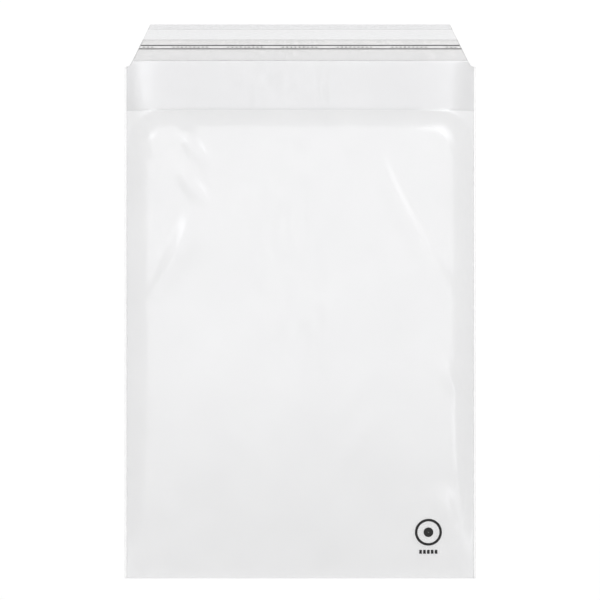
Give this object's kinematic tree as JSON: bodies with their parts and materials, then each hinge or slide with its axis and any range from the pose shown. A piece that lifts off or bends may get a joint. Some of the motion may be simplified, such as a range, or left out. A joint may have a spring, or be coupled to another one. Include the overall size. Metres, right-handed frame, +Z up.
{
  "type": "clear self-seal bag",
  "caption": "Flat clear film bag with welded sides, a hemmed mouth and a tapered flap that carries an adhesive strip under a peel-off liner.",
  "frame": {"origin": "centre of the bag's outline, on the surface that it lies on", "axes": "+X across the bag, +Y from the bottom fold towards the flap's tip, +Z up through the front panel"},
  "size_m": [0.24, 0.3788, 0.0128],
  "materials": {
    "clear_film": "clear glossy film with a slight haze",
    "adhesive": "clear hot-melt adhesive",
    "liner": "thin satin release film"
  },
  "bodies": {
    "root": {"bag_film": "clear_film", "adhesive_strip": "adhesive", "release_liner": "liner"}
  },
  "joints": []
}
